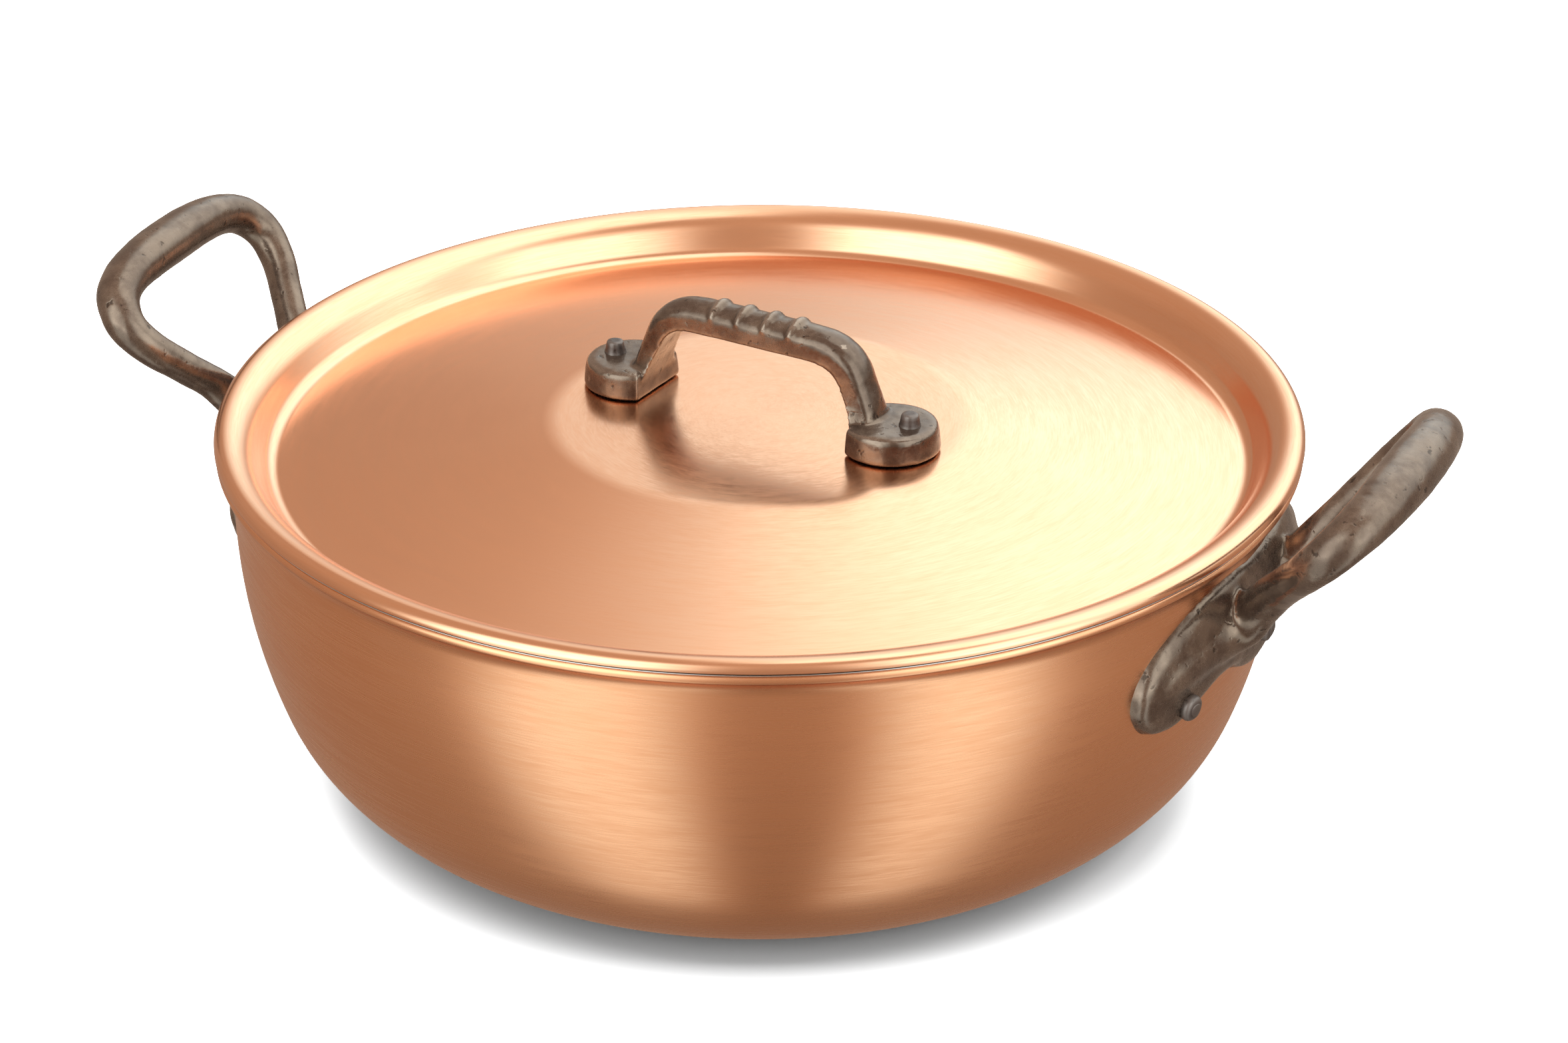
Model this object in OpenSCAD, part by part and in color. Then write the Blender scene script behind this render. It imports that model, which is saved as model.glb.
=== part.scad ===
// Lidded copper casserole with two cast-iron loop handles.
// Origin: centre of the underside of the base. +Z up, side handles along +X and -X.

/* [Pan] */
// Greatest outer radius of the pan wall
wall_r = 141; // [130:1:155]
// Height of the top of the pouring lip
pan_h = 102; // [95:1:115]
// Radius of the curve from the base into the wall
corner_r = 50; // [40:1:55]
// Radius of the gentle belly of the wall
bulge_r = 150; // [130:1:200]
// Height at which the wall is widest
belly_z = 84; // [76:1:90]
// Thickness of the copper
copper_t = 2.2; // [1.5:0.1:3]
// Thickness of the stainless steel lining
lining_t = 0.3; // [0.2:0.1:0.6]
// Radius of the flare under the pouring lip
flare_r = 6; // [4:0.5:9]
// Angle that the lip is flared through, degrees
flare_angle = 75; // [50:5:85]

/* [Lid] */
// Outer radius of the lid
lid_r = 145.5; // [140:0.5:150]
// Height of the crest of the lid rim above the base
lid_crest_z = 105.2; // [104:0.2:112]
// Thickness of the lid's copper
lid_copper_t = 1; // [0.8:0.1:1.5]
// Thickness of the lid's steel lining
lid_lining_t = 0.2; // [0.2:0.1:0.5]
// Radius of the flat disc in the middle of the lid
disc_r = 56; // [50:1:64]
// Depth of the flat disc below the crest
disc_drop = 2.2; // [1:0.2:6]
// Slope of the cone around the disc, degrees
cone_angle = 6.9; // [3:0.1:9]
// Slope of the rim's inner side, degrees
shoulder_angle = 62; // [50:1:75]
// Turn of the lid about its axis, degrees
lid_turn = -6.8; // [-180:0.1:180]

/* [Side handles] */
// Tilt of the loop above level, degrees
loop_tilt = 50.8; // [40:0.1:60]
// Angle that each side handle sits forward of the X axis, degrees
handle_fore = 1.5; // [0:0.5:4]
// Angle between neighbouring rivets round the pan, degrees
rivet_step = 15.6; // [14:0.1:20]
// Height of the end rivets
rivet_end_z = 66.5; // [60:0.5:70]
// Height of the middle rivet
rivet_mid_z = 72; // [64:0.5:72]
// Thickness of the flat of the handle plate
plate_t = 4.2; // [3:0.1:6]

/* [Lid handle] */
// Distance between the two pins
pin_span = 92; // [84:1:98]
// Height of the round feet
foot_h = 8; // [6:0.5:10]
// Width of the bar
bar_w = 12; // [10:0.5:16]
// Height of the top of the bar above the lid
bar_top = 30; // [26:1:36]

/* [Rivets] */
// Diameter of a side rivet's shank
shank_d = 5; // [4:0.5:6]
// Diameter of a side rivet's outer head
head_d = 7; // [6:0.5:9]
// Height of a side rivet's outer head
head_h = 2.4; // [1.5:0.1:3.5]
// Diameter of a lid pin
pin_d = 4.6; // [4:0.2:6]

/* [Hidden] */
$fn = 96;
play = 0.1;              // clearance of a hole round its rivet
copper = [0.80, 0.47, 0.30];
steel = [0.78, 0.78, 0.76];
iron = [0.27, 0.23, 0.21];

// Points on an arc round [x, y], from angle a0 to angle a1
function arc(x, y, r, a0, a1, n = 12) =
    [for (i = [0:n]) let (a = a0 + (a1 - a0) * i / n) [x + r * cos(a), y + r * sin(a)]];
function flip(list) = [for (i = [len(list) - 1:-1:0]) list[i]];

// ---- Pan section -------------------------------------------------------
belly_x = wall_r - bulge_r;                  // centre of the belly curve
corner_x = belly_x + sqrt(pow(bulge_r - corner_r, 2) - pow(belly_z - corner_r, 2));
blend_a = atan2(belly_z - corner_r, corner_x - belly_x);
pan_t = copper_t + lining_t;
flare_z = pan_h - (flare_r + pan_t) * sin(flare_angle);
flare_x = wall_r + flare_r;
lip_r = flare_x - flare_r * cos(flare_angle);

// One face of the pan sheet, d inside its outer face, from the axis to the lip
function pan_face(d) = concat(
    [[0, d]],
    arc(corner_x, corner_r, corner_r - d, -90, -blend_a, 20),
    arc(belly_x, belly_z, bulge_r - d, -blend_a, 0, 20),
    arc(flare_x, flare_z, flare_r + d, 180, 180 - flare_angle, 12)
);
module pan_layer(outer_d, inner_d) {
    rotate_extrude($fn = 180)
        polygon(concat(pan_face(outer_d), flip(pan_face(inner_d))));
}
// Outer radius of the wall at height z
function wall_at(z) = z > belly_z ? wall_r : belly_x + sqrt(pow(bulge_r, 2) - pow(z - belly_z, 2));
// Lean of the wall at height z, degrees below level
function lean_at(z) = z > belly_z ? 0 : asin((belly_z - z) / bulge_r);

// ---- Lid section -------------------------------------------------------
rim_r = 2.6;                                 // rolled outer edge of the lid
shoulder_r = 9;
fillet_r = 4;
lid_t = lid_copper_t + lid_lining_t;
disc_z = lid_crest_z - disc_drop;
edge_z = pan_h + 0.4;                        // lowest point of the lid's edge
shoulder_x = lid_r - rim_r;
shoulder_z = lid_crest_z - shoulder_r;
slope_a = 90 + shoulder_angle;
slope_start = [shoulder_x + shoulder_r * cos(slope_a), shoulder_z + shoulder_r * sin(slope_a)];
// The fillet touches the slope and the cone: its centre is fillet_r from both lines
slope_n = [-sin(shoulder_angle), cos(shoulder_angle)];
cone_n = [sin(cone_angle), cos(cone_angle)];
slope_c = slope_start * slope_n + fillet_r;
cone_c = [disc_r, disc_z] * cone_n + fillet_r;
fillet_det = slope_n[0] * cone_n[1] - slope_n[1] * cone_n[0];
fillet_x = (slope_c * cone_n[1] - slope_n[1] * cone_c) / fillet_det;
fillet_z = (slope_n[0] * cone_c - cone_n[0] * slope_c) / fillet_det;

// One face of the lid sheet, d below its top face, from the edge to the axis
function lid_face(d) = concat(
    [[lid_r - d, edge_z]],
    arc(lid_r - rim_r, lid_crest_z - rim_r, rim_r - d, 0, 90, 8),
    arc(shoulder_x, shoulder_z, shoulder_r - d, 90, slope_a, 10),
    arc(fillet_x, fillet_z, fillet_r + d, shoulder_angle - 90, -90 - cone_angle, 8),
    [[disc_r - d * sin(cone_angle), disc_z - d], [0, disc_z - d]]
);
module lid_layer(outer_d, inner_d) {
    rotate_extrude($fn = 180)
        polygon(concat(lid_face(outer_d), flip(lid_face(inner_d))));
}

// ---- Side handles ------------------------------------------------------
right_turn = -handle_fore;                   // both handles sit slightly towards -Y
left_turn = 180 + handle_fore;
loop_x = 140.1;                              // where the plane of the loop meets the wall
loop_z = 74.3;
loop_bow = 1.5;                              // rise of the loop above its own plane
loop_len = 64.1;
// Half of the loop in its own plane: distance out along it, half width there,
// half thickness across the rod in the plane, and half thickness normal to it
half_loop = [
    [4.9, 16.1, 4.6, 6.0],
    [11.9, 16.9, 4.4, 6.0],
    [22.4, 21.2, 4.3, 5.5],
    [32.6, 28.4, 4.4, 5.2],
    [42.5, 35.2, 4.8, 5.4],
    [51.4, 37.7, 5.3, 5.8],
    [58.8, 33.5, 5.8, 6.3],
    [62.5, 24.8, 6.2, 6.8],
    [63.9, 12.6, 6.7, 7.3],
    [loop_len, 0, 6.9, 7.5]
];
half_n = len(half_loop);
function mirror_y(p) = [p[0], -p[1], p[2], p[3]];
loop_knots = concat([for (i = [0:half_n - 1]) mirror_y(half_loop[i])],
    [for (i = [half_n - 2:-1:0]) half_loop[i]]);
knot_n = len(loop_knots);
// Catmull-Rom curve through the knots
function knot(i) = loop_knots[max(0, min(knot_n - 1, i))];
function spline(i, t) = let (a = knot(i - 1), b = knot(i), c = knot(i + 1), d = knot(i + 2))
    0.5 * (2 * b + (c - a) * t + (2 * a - 5 * b + 4 * c - d) * t * t + (3 * b - a - 3 * c + d) * t * t * t);
span_steps = 3;
loop_path = concat([for (i = [0:knot_n - 2]) for (k = [0:span_steps - 1]) spline(i, k / span_steps)],
    [loop_knots[knot_n - 1]]);
ring_n = len(loop_path);
// A point given in the plane of the loop, h above that plane, in the handle's frame
function loop_point(s, y, h) = let (q = s / loop_len, rise = h + loop_bow * 4 * q * (1 - q))
    [loop_x + s * cos(loop_tilt) - rise * sin(loop_tilt), y, loop_z + s * sin(loop_tilt) + rise * cos(loop_tilt)];
ring_sides = 16;
function loop_ring(i) = let (p = loop_path[i],
        q = loop_path[min(ring_n - 1, i + 1)] - loop_path[max(0, i - 1)],
        m = norm([q[0], q[1]]), nx = q[1] / m, ny = -q[0] / m)
    [for (k = [0:ring_sides - 1]) let (a = 360 * k / ring_sides)
        loop_point(p[0] + nx * p[2] * cos(a), p[1] + ny * p[2] * cos(a), p[3] * sin(a))];
module loop_rod() {
    points = [for (i = [0:ring_n - 1]) for (p = loop_ring(i)) p];
    sides = [for (i = [0:ring_n - 2]) for (k = [0:ring_sides - 1])
        let (a = i * ring_sides + k, b = i * ring_sides + (k + 1) % ring_sides)
        [a, b, b + ring_sides, a + ring_sides]];
    first = [for (k = [ring_sides - 1:-1:0]) k];
    last = [for (k = [0:ring_sides - 1]) (ring_n - 1) * ring_sides + k];
    polyhedron(points, concat(sides, [first, last]));
}

// Low bridge between the two legs, where they meet the plate
module web() {
    hull() for (y = [-14, 14], s = [7, 10]) translate(loop_point(s, y, -0.6)) sphere(r = 4, $fn = 24);
}

plate_low = 59;                              // lowest and highest edges of the plate
plate_high = 91;
arm_end = 58;                                // reach of each arm, measured round the pan
lobe_r = 13;
lobe_z = 72.5;
ridge_t = 5.6;                                // thickness of the raised upper edge
ridge_z = 81;
// Outline of the plate, flattened: x round the pan, y up
module plate_outline() {
    for (side = [-1, 1]) {
        translate([side * (arm_end - lobe_r), lobe_z]) circle(lobe_r);
        polygon([[0, 61.5], [side * 46, plate_low + 1.5], [side * 54, 82], [side * 44, 88],
            [side * 24, plate_high - 3], [side * 14, plate_high - 2], [0, 88]]);
    }
}
// Shell that lies on the wall, thick at the ridge and thin at its edges
module wall_shell() {
    sector = 2 * arm_end / wall_r * 180 / PI + 12;
    inner = [for (z = [plate_low - 2:2.5:plate_high - 3]) [wall_at(z) + play / 2, z]];
    outer = [[wall_r + plate_t - 1, plate_high - 3], [wall_r + ridge_t - 1, ridge_z + 5],
        [wall_r + ridge_t, ridge_z], [wall_at(76) + plate_t, 76],
        [wall_at(66) + plate_t, 66], [wall_at(plate_low) + plate_t, plate_low - 2]];
    rotate([0, 0, -sector / 2])
        rotate_extrude(angle = sector, $fn = 180) polygon(concat(inner, outer));
}
// One cast handle: the outline is cut straight through the shell, along +X, and the loop is
// trimmed to the wall and clear of the lip
module handle() {
    flat = sin(arm_end / wall_r * 180 / PI) * wall_r / arm_end;
    difference() {
        union() {
            intersection() {
                wall_shell();
                rotate([90, 0, 90]) linear_extrude(wall_r * 2) scale([flat, 1]) plate_outline();
            }
            difference() {
                union() {
                    loop_rod();
                    web();
                }
                translate([0, 0, -1]) cylinder(r = wall_r + play, h = pan_h, $fn = 180);
            }
        }
        rivet_holes();
        translate([0, 0, pan_h - 12]) cylinder(r = lip_r + 0.5, h = 13, $fn = 180);
    }
}

// ---- Rivets ------------------------------------------------------------
// Each of the three places: angle round the handle and height
rivet_places = [[-rivet_step, rivet_end_z], [0, rivet_mid_z], [rivet_step, rivet_end_z]];
rivet_reach = 20;
// Puts children at a rivet's place, +Z pointing out of the wall from its outer face
module at_rivet(k) {
    p = rivet_places[k];
    rotate([0, 0, p[0]])
        translate([wall_at(p[1]), 0, p[1]])
            rotate([0, 90 + lean_at(p[1]), 0]) children();
}
module rivet_holes() {
    for (k = [0:2]) at_rivet(k)
        translate([0, 0, -rivet_reach / 2]) cylinder(d = shank_d + play, h = rivet_reach);
}
inner_head_d = 11;
inner_head_h = 1.6;
seat = plate_t + 0.15;                       // where the outer head sits
module rivet(k) {
    at_rivet(k) {
        translate([0, 0, -pan_t - inner_head_h]) cylinder(d = shank_d, h = pan_t + inner_head_h + seat + 1);
        translate([0, 0, seat]) cylinder(d = head_d, h = head_h * 0.6);
        translate([0, 0, seat + head_h * 0.6]) cylinder(d1 = head_d, d2 = head_d * 0.7, h = head_h * 0.4);
        translate([0, 0, -pan_t - inner_head_h - play])
            cylinder(d1 = inner_head_d * 0.7, d2 = inner_head_d, h = inner_head_h);
    }
}

// ---- Lid handle --------------------------------------------------------
foot_x = pin_span / 2 - 5.7;                 // centre of the round foot
foot_r = 13.5;
foot_inner = 32;                             // flat inner side of each foot
bar_t = 8.3;
module bar_section() {
    // Side view of the legs and the bar: x along the handle, y up from the lid
    knee = 14;
    inner_knee = 8;
    outer = concat([[38.5, foot_h - 1]], arc(36.5 - knee, bar_top - knee, knee, 8, 90, 8));
    inner = concat(arc(foot_inner - 1 - inner_knee, bar_top - bar_t - inner_knee, inner_knee, 90, 8, 6),
        [[foot_inner, foot_h - 1], [foot_inner, 0.5]]);
    half = concat(inner, [[38.5, 0.5]], outer);
    polygon(half);
    mirror([1, 0]) polygon(half);
    translate([-23.5, bar_top - bar_t]) square([47, bar_t]);
}
module lid_handle_shape() {
    difference() {
        union() {
            for (side = [-1, 1]) intersection() {
                translate([side * foot_x, 0, 0]) cylinder(r1 = foot_r, r2 = foot_r - 1, h = foot_h);
                translate([side * (foot_inner + 25) - 25, -25, 0]) cube([50, 50, foot_h]);
            }
            translate([0, bar_w / 2, 0]) rotate([90, 0, 0]) linear_extrude(bar_w) bar_section();
            for (x = [-12, -4, 4, 12]) translate([x, 0, bar_top - 3])
                rotate([90, 0, 0]) cylinder(r = 4, h = bar_w - 4, center = true);
        }
        for (side = [-1, 1]) translate([side * pin_span / 2, 0, -1]) cylinder(d = pin_d + play, h = foot_h + 2);
    }
}
pin_up = 3.4;                                // how far a pin stands above its foot
pin_head_d = 9.5;
pin_head_h = 1.2;
module lid_pin(side) {
    translate([side * pin_span / 2, 0, 0]) {
        translate([0, 0, -lid_t - pin_head_h]) cylinder(d = pin_d, h = lid_t + pin_head_h + foot_h + pin_up);
        translate([0, 0, -lid_t - play - pin_head_h])
            cylinder(d1 = pin_head_d * 0.7, d2 = pin_head_d, h = pin_head_h);
    }
}
module on_lid() { rotate([0, 0, lid_turn]) translate([0, 0, disc_z]) children(); }
module lid_pin_holes() {
    on_lid() for (side = [-1, 1]) translate([side * pin_span / 2, 0, -5]) cylinder(d = pin_d + play, h = 10);
}

// ---- Sub-parts ---------------------------------------------------------
module pan_body() {
    color(copper) difference() {
        pan_layer(0, copper_t);
        for (turn = [right_turn, left_turn]) rotate([0, 0, turn]) rivet_holes();
    }
}
module pan_lining() {
    color(steel) difference() {
        pan_layer(copper_t, pan_t);
        for (turn = [right_turn, left_turn]) rotate([0, 0, turn]) rivet_holes();
    }
}
module handle_right() { color(iron) rotate([0, 0, right_turn]) handle(); }
module handle_left() { color(iron) rotate([0, 0, left_turn]) handle(); }
module rivet_right_front() { color(iron) rotate([0, 0, right_turn]) rivet(0); }
module rivet_right_middle() { color(iron) rotate([0, 0, right_turn]) rivet(1); }
module rivet_right_rear() { color(iron) rotate([0, 0, right_turn]) rivet(2); }
module rivet_left_rear() { color(iron) rotate([0, 0, left_turn]) rivet(0); }
module rivet_left_middle() { color(iron) rotate([0, 0, left_turn]) rivet(1); }
module rivet_left_front() { color(iron) rotate([0, 0, left_turn]) rivet(2); }
module lid_shell() {
    color(copper) difference() {
        lid_layer(0, lid_copper_t);
        lid_pin_holes();
    }
}
module lid_lining() {
    color(steel) difference() {
        lid_layer(lid_copper_t, lid_t);
        lid_pin_holes();
    }
}
module lid_handle() { color(iron) on_lid() lid_handle_shape(); }
module lid_pin_left() { color(iron) on_lid() lid_pin(-1); }
module lid_pin_right() { color(iron) on_lid() lid_pin(1); }

pan_body();
pan_lining();
handle_left();
handle_right();
rivet_left_front();
rivet_left_middle();
rivet_left_rear();
rivet_right_front();
rivet_right_middle();
rivet_right_rear();
lid_shell();
lid_lining();
lid_handle();
lid_pin_left();
lid_pin_right();
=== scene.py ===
"""Looks of a lidded copper casserole with cast-iron handles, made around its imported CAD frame.

Shapes are worked out in millimetres, in the part's own frame, and turned into metres when a mesh is made.
"""
import math

import bpy
import numpy as np
from mathutils import Matrix, Vector, noise


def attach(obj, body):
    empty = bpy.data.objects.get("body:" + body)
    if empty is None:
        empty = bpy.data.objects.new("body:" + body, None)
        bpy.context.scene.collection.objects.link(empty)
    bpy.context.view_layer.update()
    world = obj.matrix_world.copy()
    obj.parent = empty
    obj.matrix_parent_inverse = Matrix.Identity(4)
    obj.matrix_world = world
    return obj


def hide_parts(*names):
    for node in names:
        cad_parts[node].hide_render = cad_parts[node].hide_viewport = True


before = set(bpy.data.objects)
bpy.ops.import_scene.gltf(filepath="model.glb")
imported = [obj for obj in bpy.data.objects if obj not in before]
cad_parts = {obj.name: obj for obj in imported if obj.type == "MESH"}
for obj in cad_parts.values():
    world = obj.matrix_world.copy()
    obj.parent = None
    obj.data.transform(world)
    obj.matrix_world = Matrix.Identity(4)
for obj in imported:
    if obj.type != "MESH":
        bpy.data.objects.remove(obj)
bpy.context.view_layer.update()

MM = 0.001
LATHE_SIDES = 256
CREASE = math.radians(40)       # shading breaks where faces meet at more than this

# ---- Sizes shared with the CAD part, in millimetres ------------------------
WALL_R = 141.0          # greatest outer radius of the wall
PAN_H = 102.0           # height of the lip
CORNER_R = 50.0         # curve from the base into the wall
BULGE_R = 150.0         # belly of the wall
BELLY_Z = 84.0          # height where the wall is widest
COPPER_T = 2.2
PAN_T = 2.5             # copper and steel together
FLARE_R = 6.0
FLARE_A = 75.0
LID_R = 145.5
CREST_Z = 105.2
LID_COPPER_T = 1.0
LID_T = 1.2
DISC_R = 56.0
DISC_Z = CREST_Z - 2.2
CONE_A = 6.9
SHOULDER_A = 62.0
RIM_R = 2.6
SHOULDER_R = 9.0
FILLET_R = 4.0
EDGE_Z = PAN_H + 0.4
LID_TURN = math.radians(-6.8)
LOOP_TILT = math.radians(50.8)
LOOP_X = 140.1
LOOP_Z = 74.3
LOOP_BOW = 1.5
LOOP_LEN = 64.1
HANDLE_FORE = math.radians(1.5)     # how far each side handle sits forward of the X axis
RIVET_STEP = math.radians(15.6)
RIVET_PLACES = {"front": (-RIVET_STEP, 66.5), "middle": (0.0, 72.0), "rear": (RIVET_STEP, 66.5)}
PLATE_T = 4.2
RIDGE_T = 5.6
PIN_X = 46.0            # from the middle of the lid handle to each pin
FOOT_H = 8.0
LAYER_GAP = 0.01        # keeps the copper's and the steel's touching faces apart

# ---- Derived places of the pan and lid sections ----------------------------
BELLY_X = WALL_R - BULGE_R
CORNER_X = BELLY_X + math.sqrt((BULGE_R - CORNER_R) ** 2 - (BELLY_Z - CORNER_R) ** 2)
BLEND_A = math.degrees(math.atan2(BELLY_Z - CORNER_R, CORNER_X - BELLY_X))
FLARE_Z = PAN_H - (FLARE_R + PAN_T) * math.sin(math.radians(FLARE_A))
FLARE_X = WALL_R + FLARE_R


def arc(x, y, r, a0, a1, n):
    """n + 1 points on an arc round (x, y), angles in degrees."""
    return [(x + r * math.cos(math.radians(a0 + (a1 - a0) * i / n)),
             y + r * math.sin(math.radians(a0 + (a1 - a0) * i / n))) for i in range(n + 1)]


def pan_face(d):
    """One face of the pan sheet, d inside its outer face, from the axis to the lip."""
    return ([(r, d) for r in (0, 20, 40, 60, 75)]
            + arc(CORNER_X, CORNER_R, CORNER_R - d, -90, -BLEND_A, 36)
            + arc(BELLY_X, BELLY_Z, BULGE_R - d, -BLEND_A, 0, 30)[1:]
            + arc(FLARE_X, FLARE_Z, FLARE_R + d, 180, 180 - FLARE_A + 5, 22))


def pan_lip(d0, d1, roundness):
    """The rounded cut edge between the faces d0 and d1 of the sheet, roundness deep."""
    points = []
    for i in range(11):
        turn = math.pi * i / 10
        rho = FLARE_R + (d0 + d1) / 2 - (d1 - d0) / 2 * math.cos(turn)
        a = math.radians(180 - FLARE_A) + roundness / rho * (1 - math.sin(turn))
        points.append((FLARE_X + rho * math.cos(a), FLARE_Z + rho * math.sin(a)))
    return points


def fillet_centre():
    """Centre of the fillet that touches the lid's slope and its cone."""
    s, c = math.radians(SHOULDER_A), math.radians(CONE_A)
    a = math.radians(90 + SHOULDER_A)
    start = np.array((LID_R - RIM_R + SHOULDER_R * math.cos(a),
                      CREST_Z - SHOULDER_R + SHOULDER_R * math.sin(a)))
    slope_n = np.array((-math.sin(s), math.cos(s)))
    cone_n = np.array((math.sin(c), math.cos(c)))
    sides = np.array((start @ slope_n + FILLET_R, np.array((DISC_R, DISC_Z)) @ cone_n + FILLET_R))
    return np.linalg.solve(np.array((slope_n, cone_n)), sides)


def lid_face(d):
    """One face of the lid sheet, d below its top face, from its edge to the axis."""
    fx, fz = fillet_centre()
    ring = 45.0                                  # a broad, soft turn between the cone and the disc
    half = math.radians(CONE_A) / 2
    ring_x = DISC_R - ring * math.tan(half)
    cone_end = arc(fx, fz, FILLET_R + d, SHOULDER_A - 90, -90 - CONE_A, 18)
    turn = arc(ring_x, DISC_Z - ring, ring - d, 90 - CONE_A, 90, 10)
    (x0, z0), (x1, z1) = cone_end[-1], turn[0]
    cone = [(x0 + (x1 - x0) * i / 8, z0 + (z1 - z0) * i / 8) for i in range(1, 8)]
    return (arc(LID_R - RIM_R, CREST_Z - RIM_R, RIM_R - d, 0, 90, 12)
            + arc(LID_R - RIM_R, CREST_Z - SHOULDER_R, SHOULDER_R - d, 90, 90 + SHOULDER_A, 24)[1:]
            + cone_end + cone + turn + [(40, DISC_Z - d), (20, DISC_Z - d), (0, DISC_Z - d)])


def lid_edge(d0, d1, roundness):
    """The rounded lower edge of the lid sheet, from face d1 to face d0."""
    points = []
    for i in range(9):
        turn = math.pi * i / 8
        points.append((LID_R - (d0 + d1) / 2 - (d1 - d0) / 2 * math.cos(turn),
                       EDGE_Z + roundness * (1 - math.sin(turn))))
    return points


def wall_at(z):
    """Outer radius of the wall at height z."""
    return WALL_R if z > BELLY_Z else BELLY_X + math.sqrt(BULGE_R ** 2 - (z - BELLY_Z) ** 2)


def lean_at(z):
    """Lean of the wall at height z, below level."""
    return 0.0 if z > BELLY_Z else math.asin((BELLY_Z - z) / BULGE_R)


# ---- Mesh helpers ----------------------------------------------------------
def mesh_object(name, points, faces, material=None):
    """A smooth-shaded object from points in millimetres, sharp at its creases."""
    mesh = bpy.data.meshes.new(name)
    mesh.from_pydata([tuple(float(c) * MM for c in p) for p in points], [], faces)
    mesh.validate()
    mesh.shade_smooth()
    mesh.set_sharp_from_angle(angle=CREASE)
    obj = bpy.data.objects.new(name, mesh)
    bpy.context.scene.collection.objects.link(obj)
    if material:
        mesh.materials.append(material)
    return obj


def lathe_parts(section, segments):
    """Points and faces of a section of (radius, height) turned round the axis.

    A section that starts and ends on the axis is closed there; any other is closed on itself."""
    points, rings = [], []
    for r, z in section:
        if r < 1e-6:
            rings.append([len(points)])
            points.append((0, 0, z))
        else:
            rings.append(list(range(len(points), len(points) + segments)))
            for k in range(segments):
                a = 2 * math.pi * k / segments
                points.append((r * math.cos(a), r * math.sin(a), z))
    pairs = list(zip(rings, rings[1:]))
    if len(rings[0]) > 1:
        pairs.append((rings[-1], rings[0]))
    faces = []
    for low, high in pairs:
        for k in range(segments):
            j = (k + 1) % segments
            if len(low) == 1:
                faces.append((low[0], high[j], high[k]))
            elif len(high) == 1:
                faces.append((low[k], low[j], high[0]))
            else:
                faces.append((low[k], low[j], high[j], high[k]))
    return points, faces


def apply_modifiers(obj):
    """Applies obj's modifiers to its mesh."""
    graph = bpy.context.evaluated_depsgraph_get()
    mesh = bpy.data.meshes.new_from_object(obj.evaluated_get(graph))
    obj.modifiers.clear()
    old = obj.data
    obj.data = mesh
    bpy.data.meshes.remove(old)


def fused(name, solids, voxel, smoothing, material):
    """One skin round closed solids, as a casting has, voxel mm fine and smoothed."""
    points, faces = [], []
    for solid_points, solid_faces in solids:
        base = len(points)
        points += list(solid_points)
        faces += [tuple(base + i for i in f) for f in solid_faces]
    obj = mesh_object(name, points, faces)
    remesh = obj.modifiers.new("skin", "REMESH")
    remesh.mode = "VOXEL"
    remesh.voxel_size = voxel * MM
    remesh.use_smooth_shade = True
    smooth = obj.modifiers.new("smooth", "SMOOTH")
    smooth.factor = 0.5
    smooth.iterations = smoothing
    bpy.context.view_layer.update()
    apply_modifiers(obj)
    obj.data.materials.clear()
    obj.data.materials.append(material)
    obj.data.shade_smooth()
    return obj


def roughen(obj, depth, size, seed):
    """Pushes each point in along its normal by up to depth mm, in lumps of about size mm."""
    offset = Vector((seed * 7.3, seed * 3.1, seed * 5.7))
    normals = [v.normal.copy() for v in obj.data.vertices]
    for v, n in zip(obj.data.vertices, normals):
        lump = noise.noise(v.co / (size * MM) + offset)
        lump += 0.5 * noise.noise(v.co / (size * 0.4 * MM) - offset)
        v.co -= n * depth * MM * (0.5 + 0.4 * lump)


def spline(knots, steps):
    """Catmull-Rom curve through the rows of knots, steps points a span."""
    knots = np.array(knots, float)
    padded = np.vstack((2 * knots[0] - knots[1], knots, 2 * knots[-1] - knots[-2]))
    rows = []
    for i in range(len(knots) - 1):
        a, b, c, d = padded[i:i + 4]
        for t in np.arange(steps) / steps:
            rows.append(0.5 * (2 * b + (c - a) * t + (2 * a - 5 * b + 4 * c - d) * t ** 2
                               + (3 * b - a - 3 * c + d) * t ** 3))
    rows.append(knots[-1])
    return np.array(rows)


def turns(sides):
    """The angles of the corners of a ring."""
    return [2 * math.pi * k / sides for k in range(sides)]


def tube(rings):
    """Closed solid through rings that all have the same number of points."""
    sides = len(rings[0])
    points = [p for ring in rings for p in ring]
    faces = []
    for i in range(len(rings) - 1):
        for k in range(sides):
            j = (k + 1) % sides
            a, b = i * sides, (i + 1) * sides
            faces.append((a + k, a + j, b + j, b + k))
    faces.append(tuple(range(sides - 1, -1, -1)))
    faces.append(tuple((len(rings) - 1) * sides + k for k in range(sides)))
    return points, faces


# ---- Side handles ----------------------------------------------------------
# Half of the loop in its own plane: distance out, half width there, half thickness of the rod
# across the plane's line, and half thickness normal to the plane
HALF_LOOP = [
    (4.9, 16.1, 4.6, 6.0), (11.9, 16.9, 4.4, 6.0), (22.4, 21.2, 4.3, 5.5), (32.6, 28.4, 4.4, 5.2),
    (42.5, 35.2, 4.8, 5.4), (51.4, 37.7, 5.3, 5.8), (58.8, 33.5, 5.8, 6.3), (62.5, 24.8, 6.2, 6.8),
    (63.9, 12.6, 6.7, 7.3), (LOOP_LEN, 0, 6.9, 7.5),
]
ROD_SIDES = 28
ARM_SIDES = 20
PLATE_R = WALL_R + 4.0       # radius that the plate's outline is measured round
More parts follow.
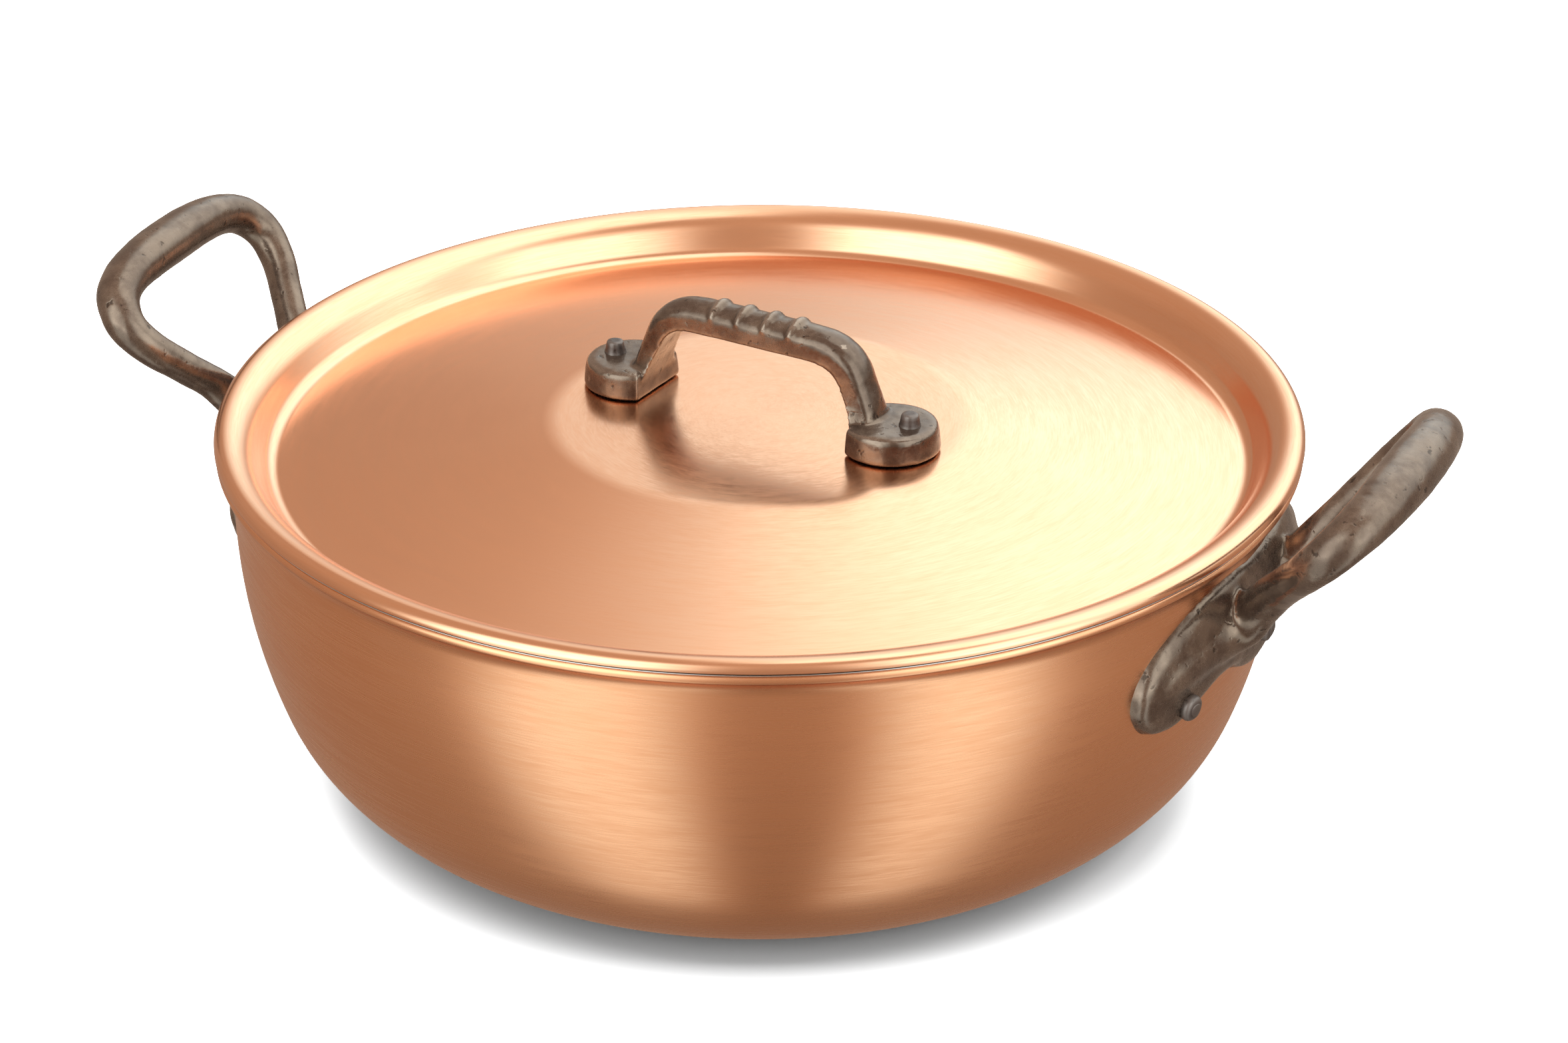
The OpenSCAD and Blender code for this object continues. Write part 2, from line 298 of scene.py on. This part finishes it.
# Half of the plate's outline, laid flat: distance round the pan and height
HALF_OUTLINE = [
    (0, 92.6), (10, 93), (18, 93.4), (26, 93), (35, 91), (47.5, 85.8), (56, 78.5), (58.2, 70),
    (52.5, 61.5), (43, 60), (33, 63.5), (23, 66.8), (14, 65.6), (8, 62.4), (0, 61),
]


def loop_point(s, y, h):
    """A point given in the plane of the loop, h above it."""
    q = s / LOOP_LEN
    rise = h + LOOP_BOW * 4 * q * (1 - q)
    return (LOOP_X + s * math.cos(LOOP_TILT) - rise * math.sin(LOOP_TILT), y,
            LOOP_Z + s * math.sin(LOOP_TILT) + rise * math.cos(LOOP_TILT))


def loop_rod():
    """The loop, as one swept elliptical rod."""
    left = [(s, -y, a, b) for s, y, a, b in HALF_LOOP]
    path = spline(left + HALF_LOOP[-2::-1], 10)
    rings = []
    for i, (s, y, a, b) in enumerate(path):
        ahead, behind = path[min(i + 1, len(path) - 1)], path[max(i - 1, 0)]
        step = ahead[:2] - behind[:2]
        nx, ny = step[1] / np.hypot(*step), -step[0] / np.hypot(*step)
        ring = []
        for turn in turns(ROD_SIDES):
            side = a * math.cos(turn)
            ring.append(loop_point(s + nx * side, y + ny * side, b * math.sin(turn)))
        rings.append(ring)
    return tube(rings)


def on_wall(u, z, out):
    """A point u mm round the pan from the middle of the handle, at height z and out mm off the wall."""
    a = u / PLATE_R
    r = wall_at(z) + out
    return np.array((r * math.cos(a), r * math.sin(a), z))


def arm(side):
    """The rounded ridge that carries one leg of the loop along the wall."""
    leg = [(loop_point(s, side * y, 0), r) for s, y, r in (
        (24, 22.3, 4.6), (16, 19, 5.2), (9.5, 18.2, 5.9))]
    wall = [(on_wall(side * u, z, out), r) for u, z, out, r in (
        (19.5, 80, 2.8, 6.4), (25.5, 78.6, 0.6, 6.4), (33, 77.6, -0.3, 6.2), (42, 76, -0.4, 6.0),
        (49.5, 74, -1.0, 5.4), (54.5, 72.3, -2.0, 4.4))]
    path = spline([(*p, r) for p, r in leg + wall], 8)
    rings = []
    for i, row in enumerate(path):
        p, r = Vector(row[:3]), float(row[3])
        along = Vector(path[min(i + 1, len(path) - 1)][:3] - path[max(i - 1, 0)][:3]).normalized()
        across = along.cross(Vector((0, 0, 1))).normalized()
        up = across.cross(along)
        rings.append([p + r * (math.cos(t) * across + 1.1 * math.sin(t) * up) for t in turns(ARM_SIDES)])
    return tube(rings)


def web():
    """The low bridge that joins the two legs where they meet the plate."""
    rings = []
    for y in np.linspace(-17, 17, 13):
        sag = float(y / 17) ** 2
        centre = Vector(loop_point(float(8.5 + 0.5 * sag), float(y), -0.6))
        along = Vector(loop_point(1, 0, 0)) - Vector(loop_point(0, 0, 0))
        rise = Vector(loop_point(0, 0, 1)) - Vector(loop_point(0, 0, 0))
        half_long, half_high = float(4.2 + 0.6 * sag), float(4.0 + 0.8 * sag)
        rings.append([centre + half_long * math.cos(t) * along + half_high * math.sin(t) * rise
                      for t in turns(ARM_SIDES)])
    return tube(rings)


def inside_distance(points, outline):
    """Distance of each point from the closed outline, positive inside."""
    a, b = outline, np.roll(outline, -1, axis=0)
    best = np.full(len(points), 1e9)
    crossings = np.zeros(len(points), int)
    x, y = points.T
    for (ax, ay), (bx, by) in zip(a, b):
        dx, dy = bx - ax, by - ay
        t = np.clip(((x - ax) * dx + (y - ay) * dy) / max(dx * dx + dy * dy, 1e-9), 0, 1)
        best = np.minimum(best, np.hypot(x - ax - t * dx, y - ay - t * dy))
        straddles = (ay > y) != (by > y)
        if abs(dy) > 1e-9:
            crossings += straddles & (x < ax + (y - ay) / dy * dx)
    return np.where(crossings % 2, best, -best)


def plate():
    """The plate under the loop: a thin riveted band with two arms, rounded along its top."""
    grid = 0.8
    half_wide, foot_z, head_z = 60.8, 57.6, 97    # the grid covers the whole outline
    inset = -1.6                                  # how far the hidden back is let into the wall
    edge_round = 3.2                              # how far in the edges are rounded,
    top_round = 16.0                              # and how much further along the top
    right = HALF_OUTLINE
    left = [(-u, z) for u, z in HALF_OUTLINE[-2:0:-1]]
    outline = spline(right + left + right[:1], 12)[:-1]
    us = np.arange(-half_wide, half_wide + 0.1, grid)
    zs = np.arange(foot_z, head_z, grid)
    uu, zz = np.meshgrid(us, zs, indexing="ij")
    depth = inside_distance(np.column_stack((uu.ravel(), zz.ravel())), outline).reshape(uu.shape)
    reach = np.abs(uu)
    crest = 84.5 - 0.27 * np.clip(reach - 30, 0, None) - 0.010 * np.clip(reach - 30, 0, None) ** 2
    below = np.clip((zz - (crest - 13)) / 13, 0, 1)
    ridge = np.where(zz < crest, below ** 2 * (3 - 2 * below), 1.0)
    tips = np.clip((57 - reach) / 12, 0, 1)       # fades out towards the tips of the arms
    middle = np.clip((reach - 8) / 10, 0, 1)      # and towards the middle rivet
    thick = PLATE_T + (RIDGE_T - PLATE_T - 0.6) * ridge * tips * middle
    wide = edge_round + top_round * ridge * tips
    rounding = np.sqrt(1 - (1 - np.clip(depth / wide, 0, 1)) ** 2)
    out = np.where(depth > 0, thick * rounding, np.maximum(depth * 1.5, -1.0))
    keep = depth > -1.4
    index = -np.ones(uu.shape, int)
    points, faces = [], []
    for i in range(len(us) - 1):
        for j in range(len(zs) - 1):
            if keep[i:i + 2, j:j + 2].all():
                for a, b in ((i, j), (i + 1, j), (i + 1, j + 1), (i, j + 1)):
                    if index[a, b] < 0:
                        index[a, b] = len(points)
                        points.append(on_wall(uu[a, b], zz[a, b], out[a, b]))
                        points.append(on_wall(uu[a, b], zz[a, b], inset))
                quad = [index[i, j], index[i + 1, j], index[i + 1, j + 1], index[i, j + 1]]
                faces.append(tuple(quad))
                faces.append(tuple(q + 1 for q in reversed(quad)))
    edges = {}
    for f in faces[::2]:
        for a, b in zip(f, f[1:] + f[:1]):
            edges[(a, b)] = edges.get((a, b), 0) + 1
    for a, b in edges:
        if (b, a) not in edges:
            faces.append((b, a, a + 1, b + 1))
    return points, faces


def side_handle(name, turn, seed, material):
    """One cast handle: loop, arms and plate under one skin."""
    solids = [loop_rod(), arm(1), arm(-1), web(), plate()]
    obj = fused(name, solids, voxel=0.8, smoothing=12, material=material)
    roughen(obj, depth=0.28, size=7.0, seed=seed)
    obj.data.transform(Matrix.Rotation(turn, 4, "Z"))
    obj.data.update()
    return obj


# ---- Lid handle ------------------------------------------------------------
# Half of the arch: place along the handle and height of its inner face, then its thickness,
# its width at the inner face and its width at the outer face
HALF_ARCH = [
    (0, 21.8, 7.9, 12, 11.4), (9, 21.8, 7.9, 12, 11.4), (18, 21.7, 7.9, 12, 11.4),
    (22.6, 21.0, 7.8, 12, 11.4), (26.2, 18.6, 7.4, 12, 11.2), (28.6, 14.2, 6.9, 12.2, 11),
    (30.7, 9.6, 6.6, 14, 11.4),
    (32.0, 5.5, 6.4, 17, 13), (32.6, 2.0, 6.0, 18, 14),
]
FOOT_X = PIN_X - 5.7
FOOT_R = 13.5
FOOT_INNER = 32.0
RIB_SIDES = 14


def arch():
    """The bar and its legs: flat inside, rounded outside."""
    right = [np.array(row, float) for row in HALF_ARCH]
    left = [row * (-1, 1, 1, 1, 1) for row in reversed(right[1:])]
    path = spline(left + right, 8)
    rings = []
    for i, (x, z, thick, inner_w, outer_w) in enumerate(path):
        step = path[min(i + 1, len(path) - 1)][:2] - path[max(i - 1, 0)][:2]
        nx, nz = -step[1] / np.hypot(*step), step[0] / np.hypot(*step)
        section = [(-inner_w / 2, 0.0), (-(inner_w + outer_w) / 4, thick * 0.3),
                   (-outer_w / 2, thick * 0.55)]
        section += [(-outer_w / 2 * math.cos(t), thick * (0.55 + 0.45 * math.sin(t)))
                    for t in (math.pi * k / 10 for k in range(1, 10))]
        section += [(-y, n) for y, n in reversed(section[:3])]
        section += [(inner_w * f, 0.0) for f in (0.3, 0.1, -0.1, -0.3)]
        rings.append([(x + nx * n, y, z + nz * n) for y, n in section])
    return tube(rings)


def foot(side):
    """A D-shaped foot, rounded over at its top edge."""
    levels = [(0.15, 0.5), (0.9, 0.0), (FOOT_H * 0.55, 0.35), (FOOT_H - 1.6, 0.7), (FOOT_H - 0.7, 1.0),
              (FOOT_H - 0.15, 1.9), (FOOT_H, 3.2)]
    rings = []
    for z, shrink in levels:
        r = FOOT_R - shrink
        cut = FOOT_X - FOOT_INNER - shrink * 0.5
        a = math.acos(-cut / r)
        ring = [(side * (FOOT_X + r * math.cos(t)), r * math.sin(t), z) for t in np.linspace(-a, a, 40)]
        x0 = FOOT_X + r * math.cos(a)
        ring += [(side * x0, r * math.sin(a) * f, z) for f in (0.6, 0.2, -0.2, -0.6)]
        rings.append(ring if side > 0 else ring[::-1])
    return tube(rings)


def cross_rib(x):
    """A plain rounded rib across the top of the bar."""
    rings = []
    for k in range(13):
        a = math.radians(-78 + 156 * k / 12)
        centre = Vector((x, 5.2 * math.sin(a), 25.9 + 3.7 * math.cos(a)))
        out = Vector((0, math.sin(a), math.cos(a)))
        size = 1.35 * math.cos(math.radians(-70 + 140 * k / 12)) ** 0.4
        rings.append([centre + size * (1.05 * math.cos(t) * Vector((1, 0, 0)) + math.sin(t) * out)
                      for t in turns(RIB_SIDES)])
    return tube(rings)


def on_lid(obj):
    """Puts an object made round the middle of the lid handle on the lid's disc."""
    obj.data.transform(Matrix.Translation((0, 0, DISC_Z * MM)) @ Matrix.Rotation(LID_TURN, 4, "Z"))
    obj.data.update()
    return obj


def lid_handle(material):
    """The cast handle of the lid: arch, feet and ribs under one skin."""
    ribs = [cross_rib(x) for x in (-12, -4, 4, 12)]
    solids = [arch(), foot(1), foot(-1)] + ribs
    obj = fused("lid_handle_cast", solids, voxel=0.5, smoothing=4, material=material)
    roughen(obj, depth=0.22, size=5.0, seed=3)
    return on_lid(obj)


# ---- Rivets and pins -------------------------------------------------------
def hammered(name, section, segments, dent, seed, material):
    """A turned rivet whose head is slightly out of round, as hammering leaves it."""
    points, faces = lathe_parts(section, segments)
    obj = mesh_object(name, points, faces, material)
    shift = Vector((seed * 11.7, seed * 4.9, 0))
    for v in obj.data.vertices:
        r = math.hypot(v.co.x, v.co.y) / MM
        if r > 0.3 and v.co.z > 0:
            push = dent * noise.noise(v.co / (3.2 * MM) + shift)
            v.co.x *= 1 + push / r
            v.co.y *= 1 + push / r
            v.co.z += 0.4 * dent * MM * noise.noise(v.co / (2.4 * MM) - shift)
    obj.data.update()
    return obj


def low_dome(radius, height, level):
    """Section of the low domed head inside the pan or lid, height deep below level."""
    return [(radius * math.sin(a), level - height * math.cos(a))
            for a in map(math.radians, range(0, 91, 15))]


def side_rivet(name, place, turn, seed, material):
    """A rivet through plate and wall, with a hammered outer head and a low domed inner one."""
    angle, z = RIVET_PLACES[place]
    seat = PLATE_T + 0.1
    inner = low_dome(5.5, 1.45, -PAN_T - 0.1)
    shank = [(5.4, -PAN_T + 0.05), (2.5, -PAN_T + 0.05), (2.5, seat - 0.4)]
    head = [(r, seat + h) for r, h in (
        (3.2, -0.4), (3.45, 0.1), (3.5, 0.8), (3.35, 1.35), (2.95, 1.8),
        (2.3, 2.05), (1.9, 2.1), (1.75, 2.3), (1.2, 2.38), (0, 2.38))]
    obj = hammered(name, inner + shank + head, segments=40, dent=0.28, seed=seed, material=material)
    # +Z of the rivet becomes the wall's outward normal, which leans down by lean_at(z)
    lie = Matrix.Rotation(math.pi / 2 + lean_at(z), 4, "Y")
    place_at = Matrix.Translation((wall_at(z) * MM, 0, z * MM)) @ lie
    obj.data.transform(Matrix.Rotation(turn + angle, 4, "Z") @ place_at)
    obj.data.update()
    return obj


def lid_pin(name, side, seed, material):
    """A tapered pin through one foot, cut off above it, with a domed head under the lid."""
    head = low_dome(4.75, 1.1, -LID_T - 0.1)
    top = FOOT_H + 3.4
    shank = [(4.6, -LID_T + 0.02), (2.25, -LID_T + 0.02), (2.25, FOOT_H - 0.6), (3.0, FOOT_H - 0.3),
             (2.95, FOOT_H + 0.15), (2.72, FOOT_H + 0.7), (2.5, FOOT_H + 1.8), (2.35, top - 0.7),
             (2.15, top - 0.3), (1.75, top - 0.12), (0.9, top - 0.1), (0, top - 0.16)]
    obj = hammered(name, head + shank, segments=32, dent=0.22, seed=seed, material=material)
    obj.data.transform(Matrix.Translation((side * PIN_X * MM, 0, 0)))
    return on_lid(obj)


# ---- Materials -------------------------------------------------------------
class Tree:
    """Short names for building a node tree."""

    def __init__(self, tree):
        self.tree = tree

    def link(self, a, b):
        self.tree.links.new(a, b)

    def feed(self, socket, value):
        if isinstance(value, bpy.types.NodeSocket):
            self.link(value, socket)
        else:
            socket.default_value = value

    def math(self, operation, a, b=0.0):
        node = self.tree.nodes.new("ShaderNodeMath")
        node.operation = operation
        self.feed(node.inputs[0], a)
        self.feed(node.inputs[1], b)
        return node.outputs[0]

    def dot(self, vector, fixed):
        node = self.tree.nodes.new("ShaderNodeVectorMath")
        node.operation = "DOT_PRODUCT"
        self.link(vector, node.inputs[0])
        node.inputs[1].default_value = fixed
        return node.outputs["Value"]

    def noise(self, vector, scale, detail, rough=0.5, w=None):
        node = self.tree.nodes.new("ShaderNodeTexNoise")
        node.noise_dimensions = "4D" if w is not None else "3D"
        self.feed(node.inputs["Vector"], vector)
        if w is not None:
            self.feed(node.inputs["W"], w)
        node.inputs["Scale"].default_value = scale
        node.inputs["Detail"].default_value = detail
        node.inputs["Roughness"].default_value = rough
        return node.outputs["Fac"]

    def spread(self, value, low, high, to_low=0.0, to_high=1.0):
        """Maps low..high of value on to to_low..to_high, clamped."""
        node = self.tree.nodes.new("ShaderNodeMapRange")
        node.interpolation_type = "SMOOTHSTEP"
        self.feed(node.inputs["Value"], value)
        for key, number in (("From Min", low), ("From Max", high), ("To Min", to_low), ("To Max", to_high)):
            node.inputs[key].default_value = number
        return node.outputs["Result"]

    def mix(self, factor, a, b):
        node = self.tree.nodes.new("ShaderNodeMix")
        node.data_type = "RGBA"
        self.feed(node.inputs[0], factor)
        self.feed(node.inputs[6], (*a, 1) if isinstance(a, tuple) else a)
        self.feed(node.inputs[7], (*b, 1) if isinstance(b, tuple) else b)
        return node.outputs[2]

    def bump(self, height, distance, strength, normal=None):
        node = self.tree.nodes.new("ShaderNodeBump")
        node.inputs["Strength"].default_value = strength
        node.inputs["Distance"].default_value = distance
        self.link(height, node.inputs["Height"])
        if normal is not None:
            self.link(normal, node.inputs["Normal"])
        return node.outputs[0]


class Nodes(Tree):
    """A material with one Principled shader."""

    def __init__(self, name):
        self.material = bpy.data.materials.new(name)
        self.material.use_nodes = True
        super().__init__(self.material.node_tree)
        self.tree.nodes.clear()
        self.shader = self.tree.nodes.new("ShaderNodeBsdfPrincipled")
        output = self.tree.nodes.new("ShaderNodeOutputMaterial")
        self.link(self.shader.outputs[0], output.inputs["Surface"])
        self.place = self.tree.nodes.new("ShaderNodeTexCoord").outputs["Object"]

    def set(self, **values):
        for key, value in values.items():
            self.feed(self.shader.inputs[key.replace("_", " ")], value)


def brushed_metal(name, bright, dull, rough, anisotropy, tarnish, depth):
    """Metal brushed in circles round its axis: fine streaks, depth strong, that run round the part."""
    n = Nodes(name)
    split = n.tree.nodes.new("ShaderNodeSeparateXYZ")
    n.link(n.place, split.inputs[0])
    x, y, z = split.outputs
    radius = n.math("SQRT", n.math("ADD", n.math("MULTIPLY", x, x), n.math("MULTIPLY", y, y)))
    safe = n.math("MAXIMUM", radius, 0.0005)

    def streaks(turns, lines, detail):
        """Noise that is long round the part and lines per metre fine across it."""
        vector = n.tree.nodes.new("ShaderNodeCombineXYZ")
        n.feed(vector.inputs[0], n.math("MULTIPLY", n.math("DIVIDE", x, safe), turns))
        n.feed(vector.inputs[1], n.math("MULTIPLY", n.math("DIVIDE", y, safe), turns))
        n.feed(vector.inputs[2], n.math("MULTIPLY", z, lines))
        return n.noise(vector.outputs[0], 1.0, detail, 0.6, w=n.math("MULTIPLY", radius, lines))

    fine = streaks(16.0, 2600.0, 2.0)
    broad = streaks(5.0, 420.0, 3.0)
    cloud = n.noise(n.place, 11.0, 3.0)
    mixed = n.math("ADD", n.math("MULTIPLY", fine, 0.55), n.math("MULTIPLY", broad, 0.45))
    wear = n.math("ADD", n.math("MULTIPLY", mixed, 0.75), n.math("MULTIPLY", cloud, 0.25))
    colour = n.mix(n.spread(wear, 0.36, 0.62), dull, bright)
    aged = tuple(c * f for c, f in zip(dull, (0.92, 0.8, 0.7)))
    colour = n.mix(n.spread(cloud, 0.42, 0.66, 0.0, tarnish), colour, aged)
    tangent = n.tree.nodes.new("ShaderNodeTangent")
    tangent.direction_type = "RADIAL"
    tangent.axis = "Z"
    n.set(Base_Color=colour, Metallic=1.0, Roughness=n.spread(mixed, 0.3, 0.7, rough + 0.05, rough - 0.04))
    n.set(Anisotropic=anisotropy, Anisotropic_Rotation=0.25, Tangent=tangent.outputs[0])
    n.set(Normal=n.bump(fine, 0.00003, 0.35 * depth, n.bump(broad, 0.00005, 0.25 * depth)))
    return n.material


def cast_iron(name, dark, light, worn, rough):
    """Oiled cast iron: mottled brown, brushed bright where hands and files have been."""
    n = Nodes(name)
    mottle = n.noise(n.place, 95.0, 5.0, 0.62)
    patch = n.noise(n.place, 28.0, 2.0, 0.5)
    grain = n.noise(n.place, 900.0, 3.0, 0.65)
    pits = n.noise(n.place, 420.0, 2.0, 0.5)
    colour = n.mix(n.spread(mottle, 0.38, 0.64), dark, light)
    edge = n.tree.nodes.new("ShaderNodeNewGeometry").outputs["Pointiness"]
    rubbed = n.math("MULTIPLY", n.spread(edge, 0.49, 0.56), n.spread(grain, 0.35, 0.6, 0.7, 1.0))
    colour = n.mix(n.math("MULTIPLY", rubbed, 0.6), colour, worn)
    colour = n.mix(n.spread(pits, 0.66, 0.74, 0.0, 0.7), colour, tuple(c * 0.35 for c in dark))
    soft = n.math("ADD", n.math("MULTIPLY", patch, 0.5), n.math("MULTIPLY", grain, 0.5))
    n.set(Base_Color=colour, Metallic=0.9, Roughness=n.spread(soft, 0.38, 0.62, rough - 0.07, rough + 0.1))
    height = n.bump(grain, 0.00005, 0.2, n.bump(mottle, 0.0003, 0.2))
    n.set(Normal=n.bump(n.spread(pits, 0.62, 0.74), -0.0001, 0.5, height))
    return n.material


def floor_material():
    """Plain matt white."""
    n = Nodes("floor_white")
    shade = n.noise(n.place, 3.0, 2.0)
    n.set(Base_Color=n.mix(shade, (0.90, 0.90, 0.90), (0.92, 0.92, 0.92)), Roughness=0.6)
    n.set(Specular_IOR_Level=0.2)
    return n.material


# ---- Camera, floor and light ----------------------------------------------
VIEW_TURN = math.radians(24.5)                    # the camera stands this far round from -Y
TO_CAMERA = Vector((math.sin(VIEW_TURN), -math.cos(VIEW_TURN), 0))
TO_RIGHT = Vector((math.cos(VIEW_TURN), math.sin(VIEW_TURN), 0))


def camera():
    """A long lens, looking down a little on the pan from the front."""
    pitch = math.radians(26.44)
    distance = 1.1465
    yaw = math.radians(-0.36)
    aim = Vector((0, 0, 0.0709))
    back = TO_CAMERA * math.cos(pitch) + Vector((0, 0, math.sin(pitch)))
    data = bpy.data.cameras.new("camera")
    data.sensor_width = 36.0
    data.lens = 96.94
    obj = bpy.data.objects.new("camera", data)
    bpy.context.scene.collection.objects.link(obj)
    obj.location = aim + back * distance
    look = Matrix.Rotation(yaw, 3, "Z") @ (-back)
    obj.rotation_euler = look.to_track_quat("-Z", "Y").to_euler()
    bpy.context.scene.camera = obj


def overhead_light():
    """A broad soft light over the pan that leaves no shape of its own in the metal."""
    place = TO_CAMERA * 0.1 + Vector((0, 0, 1.6))
    aim = Vector((0, 0, 0.08))
    data = bpy.data.lights.new("overhead", "AREA")
    data.shape = "RECTANGLE"
    data.size, data.size_y = 2.2, 2.2
    data.energy = 140
    obj = bpy.data.objects.new("overhead", data)
    bpy.context.scene.collection.objects.link(obj)
    obj.location = place
    obj.rotation_euler = (aim - place).to_track_quat("-Z", "Y").to_euler()
    obj.visible_glossy = False


# Soft panels of the studio, seen only in reflections: middle of the panel, turned round from the
# camera to the right, and half its width; height above level, from and to; all in degrees; how bright
PANELS = [
    (-40, 21, (-75, 12), 1.0),
    (-44, 26, (0, 55), 2.3),
    (45, 17, (-75, 12), 1.0),
    (48, 24, (0, 50), 1.9),
    (130, 50, (12, 88), 1.6),
]
PANEL_EDGE = 13.0               # softness of a panel's edges, degrees
PANEL_TINT = (0.87, 1.0, 1.03)
ROOM_TINT = (1.0, 0.78, 0.62)   # the dim room between the panels
WHITE = (1.0, 1.0, 1.0)
FLOOR_HALF = 6000               # millimetres from the middle of the floor to its edges


def studio_world():
    """A dim warm studio with soft white panels, seen in reflections.

    The camera itself sees plain white, and the light on dull surfaces is untinted."""
    world = bpy.data.worlds.new("studio")
    world.use_nodes = True
    n = Tree(world.node_tree)
    n.tree.nodes.clear()
    way = n.tree.nodes.new("ShaderNodeTexCoord").outputs["Generated"]
    climb = n.math("ARCSINE", n.dot(way, (0, 0, 1)))
    level = n.math("MAXIMUM", n.math("COSINE", climb), 0.001)
    height = n.math("MULTIPLY", climb, 180 / math.pi)

    def off_middle(turn):
        """Degrees between the direction's turn and the middle of a panel."""
        a = math.radians(turn)
        ahead = n.math("DIVIDE", n.dot(way, TO_CAMERA * math.cos(a) + TO_RIGHT * math.sin(a)), level)
        ahead = n.math("MAXIMUM", n.math("MINIMUM", ahead, 1.0), -1.0)
        return n.math("MULTIPLY", n.math("ARCCOSINE", ahead), 180 / math.pi)

    lit = 0.0
    for turn, half, (low, high), strength in PANELS:
        across = n.spread(off_middle(turn), half - PANEL_EDGE, half + PANEL_EDGE, 1.0, 0.0)
        up = n.math("MULTIPLY", n.spread(height, low - PANEL_EDGE, low + PANEL_EDGE),
                    n.spread(height, high - PANEL_EDGE, high + PANEL_EDGE, 1.0, 0.0))
        lit = n.math("ADD", lit, n.math("MULTIPLY", n.math("MULTIPLY", across, up), strength))
    dim = n.math("ADD", n.spread(height, -85, -5, 0.26, 0.44), n.spread(height, -5, 60, 0.0, 0.14))
    light = n.math("ADD", dim, lit)
    path = n.tree.nodes.new("ShaderNodeLightPath")
    seen, diffuse = path.outputs["Is Camera Ray"], path.outputs["Is Diffuse Ray"]
    background = n.tree.nodes.new("ShaderNodeBackground")
    tint = n.mix(n.spread(lit, 0.0, 0.7), ROOM_TINT, PANEL_TINT)
    n.feed(background.inputs["Color"], n.mix(n.math("MAXIMUM", seen, diffuse), tint, WHITE))
    unseen = n.math("SUBTRACT", 1.0, seen)
    n.feed(background.inputs["Strength"], n.math("ADD", n.math("MULTIPLY", light, unseen), seen))
    n.link(background.outputs[0], n.tree.nodes.new("ShaderNodeOutputWorld").inputs["Surface"])
    bpy.context.scene.world = world


def studio():
    """The floor, the lights and how the picture is developed."""
    corners = [(x * FLOOR_HALF, y * FLOOR_HALF, 0) for x, y in ((-1, -1), (1, -1), (1, 1), (-1, 1))]
    floor = mesh_object("floor", corners, [(0, 1, 2, 3)], floor_material())
    floor.visible_glossy = False
    studio_world()
    overhead_light()
    bpy.context.scene.view_settings.view_transform = "Standard"
    bpy.context.scene.cycles.caustics_reflective = False


# ---- Pieces ----------------------------------------------------------------
def add(obj, body, node):
    """Rides obj on its body in place of its CAD node."""
    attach(obj, body)
    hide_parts(node)


def sheets():
    """The copper and steel layers of pan and lid, turned with rounded edges."""
    copper = brushed_metal("copper_brushed", (0.95, 0.47, 0.26), (0.87, 0.40, 0.205),
                           rough=0.28, anisotropy=0.6, tarnish=0.3, depth=0.5)
    copper_lid = brushed_metal("copper_lid", (0.96, 0.51, 0.31), (0.93, 0.46, 0.26),
                               rough=0.21, anisotropy=0.3, tarnish=0.2, depth=0.08)
    steel = brushed_metal("steel_brushed", (0.74, 0.73, 0.71), (0.62, 0.61, 0.59),
                          rough=0.30, anisotropy=0.6, tarnish=0.1, depth=0.8)
    copper_section = pan_face(0) + pan_lip(0, COPPER_T, 0.7) + pan_face(COPPER_T)[::-1]
    lining_section = (pan_face(COPPER_T + LAYER_GAP) + pan_lip(COPPER_T, PAN_T, 0.15)
                      + pan_face(PAN_T)[::-1])
    lid_section = lid_face(LID_COPPER_T)[::-1] + lid_edge(0, LID_COPPER_T, 0.45) + lid_face(0)
    lid_lining_section = (lid_face(LID_T)[::-1] + lid_edge(LID_COPPER_T, LID_T, 0.1)
                          + lid_face(LID_COPPER_T + LAYER_GAP))
    for name, section, material, body, slot, node in (
            ("pan_copper", copper_section, copper, "pan", "copper", "pan_body"),
            ("pan_steel", lining_section, steel, "pan", "steel_lining", "pan_lining"),
            ("lid_copper", lid_section, copper_lid, "lid", "copper", "lid_shell"),
            ("lid_steel", lid_lining_section, steel, "lid", "steel_lining", "lid_lining")):
        points, faces = lathe_parts(section, LATHE_SIDES)
        add(mesh_object(name, points, faces, material), body, node)


def ironwork():
    """Handles, rivets and pins."""
    iron = cast_iron("cast_iron", dark=(0.095, 0.060, 0.043), light=(0.168, 0.114, 0.082),
                     worn=(0.44, 0.325, 0.25), rough=0.20)
    rivet_iron = cast_iron("rivet_iron", dark=(0.075, 0.053, 0.045), light=(0.13, 0.098, 0.084),
                           worn=(0.24, 0.195, 0.17), rough=0.40)
    for side, turn, seed in (("right", -HANDLE_FORE, 1), ("left", math.pi + HANDLE_FORE, 2)):
        add(side_handle(f"handle_{side}_cast", turn, seed, iron), "pan", f"handle_{side}")
        for k, place in enumerate(RIVET_PLACES):
            # half a turn swaps front and rear
            end = {"front": "rear", "rear": "front"}.get(place, place) if side == "left" else place
            rivet = side_rivet(f"rivet_{side}_{end}_head", place, turn, seed * 3 + k, rivet_iron)
            add(rivet, "pan", f"rivet_{side}_{end}")
    add(lid_handle(iron), "lid", "lid_handle")
    for name, side, seed in (("left", -1, 11), ("right", 1, 12)):
        add(lid_pin(f"lid_pin_{name}_head", side, seed, rivet_iron), "lid", f"lid_pin_{name}")


camera()
studio()
sheets()
ironwork()
